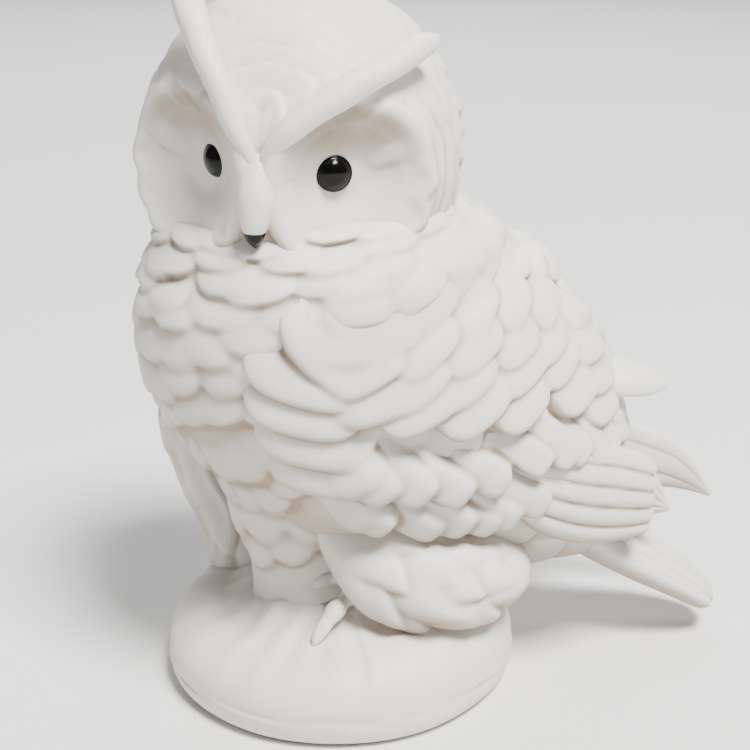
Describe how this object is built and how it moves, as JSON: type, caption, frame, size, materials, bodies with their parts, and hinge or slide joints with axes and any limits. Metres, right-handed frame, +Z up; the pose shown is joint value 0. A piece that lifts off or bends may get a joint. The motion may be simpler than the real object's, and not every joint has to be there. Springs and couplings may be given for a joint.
{
  "type": "owl figurine",
  "caption": "White unglazed porcelain horned owl with folded wings and turned head, perched on a round rocky base beside a broken trunk.",
  "frame": {"origin": "centre of the base's flat underside, where it meets the table", "axes": "+Z up; the owl's breast faces -Y and its tail points +Y; +X is the owl's own left side, to which its head is turned"},
  "size_m": [0.1016, 0.1642, 0.195],
  "materials": {
    "bisque": "matt unglazed white porcelain",
    "black_glaze": "gloss black enamel"
  },
  "bodies": {
    "root": {"stump_base": "bisque", "broken_trunk": "bisque", "body_shell": "bisque", "head_shell": "bisque", "beak": "bisque", "beak_tip": "black_glaze", "left_eye": "black_glaze", "right_eye": "black_glaze", "left_brow_tuft": "bisque", "right_brow_tuft": "bisque", "left_wing": "bisque", "right_wing": "bisque", "left_primaries": "bisque", "right_primaries": "bisque", "tail_feathers": "bisque", "left_thigh": "bisque", "right_thigh": "bisque", "left_foot": "bisque", "right_foot": "bisque"}
  },
  "joints": []
}
